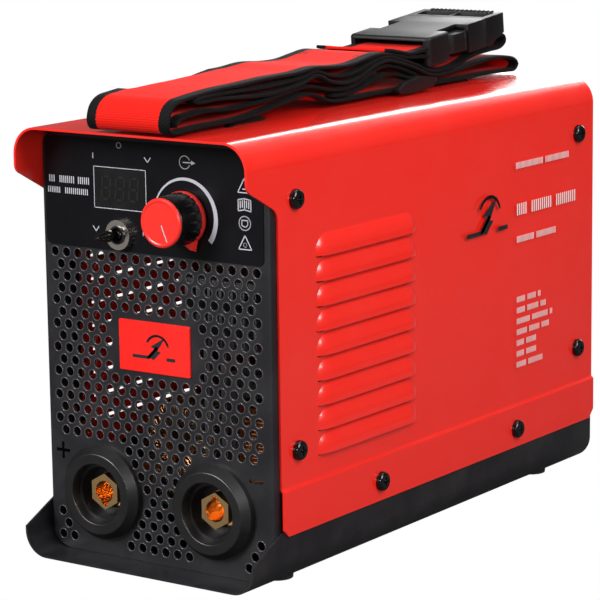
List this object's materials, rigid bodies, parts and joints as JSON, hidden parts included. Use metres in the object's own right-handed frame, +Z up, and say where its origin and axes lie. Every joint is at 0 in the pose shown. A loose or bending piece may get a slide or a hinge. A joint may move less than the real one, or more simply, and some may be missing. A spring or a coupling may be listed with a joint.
{
  "type": "stick welding inverter",
  "caption": "Portable stick welding inverter: folded steel case with perforated front, current knob, display, two output sockets, rear fan and folded carrying strap.",
  "frame": {"origin": "centre of the bounding box on the floor under the feet", "axes": "+X to the right seen from the front panel, +Y from the front panel to the rear panel, +Z up"},
  "size_m": [0.1302, 0.2973, 0.2222],
  "materials": {
    "red_paint": "glossy powder coat",
    "black_paint": "satin powder coat",
    "black_screws": "glossy black zinc",
    "rubber": "moulded",
    "zinc_steel": "zinc plated",
    "nickel": "nickel plated",
    "label_film": "satin printed film",
    "badge_enamel": "gloss enamel",
    "smoked_lens": "smoked acrylic",
    "black_plastic": "moulded",
    "gloss_black_plastic": "polished",
    "red_plastic": "polished",
    "brass": "machined",
    "copper": "bare copper",
    "aluminium": "extruded",
    "circuit_board": "solder mask",
    "ferrite": "sintered",
    "capacitor_sleeve": "shrink sleeve",
    "webbing": "woven nylon"
  },
  "bodies": {
    "case": {"badge_plate": "badge_enamel", "base_pan": "black_paint", "board_screws": "zinc_steel", "board_standoffs": "brass", "bridge_rectifier": "black_plastic", "buckle_plug": "gloss_black_plastic", "buckle_socket": "gloss_black_plastic", "cable_gland": "black_plastic", "carry_strap": "webbing", "choke_core": "ferrite", "choke_winding": "copper", "control_board": "circuit_board", "control_board_pillars": "brass", "control_label": "label_film", "cover_screws": "black_screws", "display_lens": "smoked_lens", "display_module": "black_plastic", "earth_stud": "zinc_steel", "fan_frame": "black_plastic", "fan_screws": "zinc_steel", "filter_capacitors": "capacitor_sleeve", "foot_screws": "zinc_steel", "front_flanges": "black_paint", "front_panel": "black_paint", "gland_lock_nut": "black_plastic", "gland_nut": "black_plastic", "heat_sink_left": "aluminium", "heat_sink_posts": "aluminium", "heat_sink_right": "aluminium", "main_board": "circuit_board", "output_bus_bar_left": "copper", "output_bus_bar_right": "copper", "potentiometer": "black_plastic", "potentiometer_nut": "zinc_steel", "power_switch_body": "gloss_black_plastic", "power_transistors": "black_plastic", "rear_flanges": "black_paint", "rear_panel": "black_paint", "rubber_feet": "rubber", "socket_contact_left": "brass", "socket_contact_right": "brass", "socket_housing_left": "black_plastic", "socket_housing_right": "black_plastic", "socket_lock_rings": "black_plastic", "strap_slider": "gloss_black_plastic", "stud_nuts": "zinc_steel", "toggle_body": "black_plastic", "toggle_nut": "nickel", "top_cover": "red_paint", "transformer_core": "ferrite", "transformer_winding": "copper"},
    "knob": {"knob_body": "gloss_black_plastic", "knob_cap": "red_plastic", "knob_skirt": "red_plastic", "knob_shaft": "zinc_steel"},
    "lever": {"toggle_lever": "gloss_black_plastic"},
    "rocker": {"power_rocker": "red_plastic"},
    "fan": {"fan_rotor": "black_plastic"},
    "arm_left": {"buckle_arm_left": "gloss_black_plastic"},
    "arm_right": {"buckle_arm_right": "gloss_black_plastic"}
  },
  "joints": [
    {"name": "knob_turn", "type": "hinge", "parent": "case", "child": "knob", "pos_m": [0.0179, -0.131, 0.1556], "axis": [0, -1, 0], "range_deg": [0, 300]},
    {"name": "toggle_flip", "type": "hinge", "parent": "case", "child": "lever", "pos_m": [-0.0166, -0.132, 0.1457], "axis": [0, 0, 1], "range_deg": [0, 24]},
    {"name": "power_rocker_tilt", "type": "hinge", "parent": "case", "child": "rocker", "pos_m": [-0.03, 0.1285, 0.036], "axis": [1, 0, 0], "range_deg": [-18, 0]},
    {"name": "fan_spin", "type": "hinge", "parent": "case", "child": "fan", "pos_m": [0, 0.119, 0.118], "axis": [0, 1, 0], "continuous": true},
    {"name": "buckle_squeeze_left", "type": "hinge", "parent": "case", "child": "arm_left", "pos_m": [-0.0165, 0.09779, 0.21217], "axis": [0, -0.1045, 0.9945], "range_deg": [0, 7], "stiffness_Nm_per_rad": 1},
    {"name": "buckle_squeeze_right", "type": "hinge", "parent": "case", "child": "arm_right", "pos_m": [0.0125, 0.09779, 0.21217], "axis": [0, 0.1045, -0.9945], "range_deg": [0, 7], "stiffness_Nm_per_rad": 1}
  ]
}
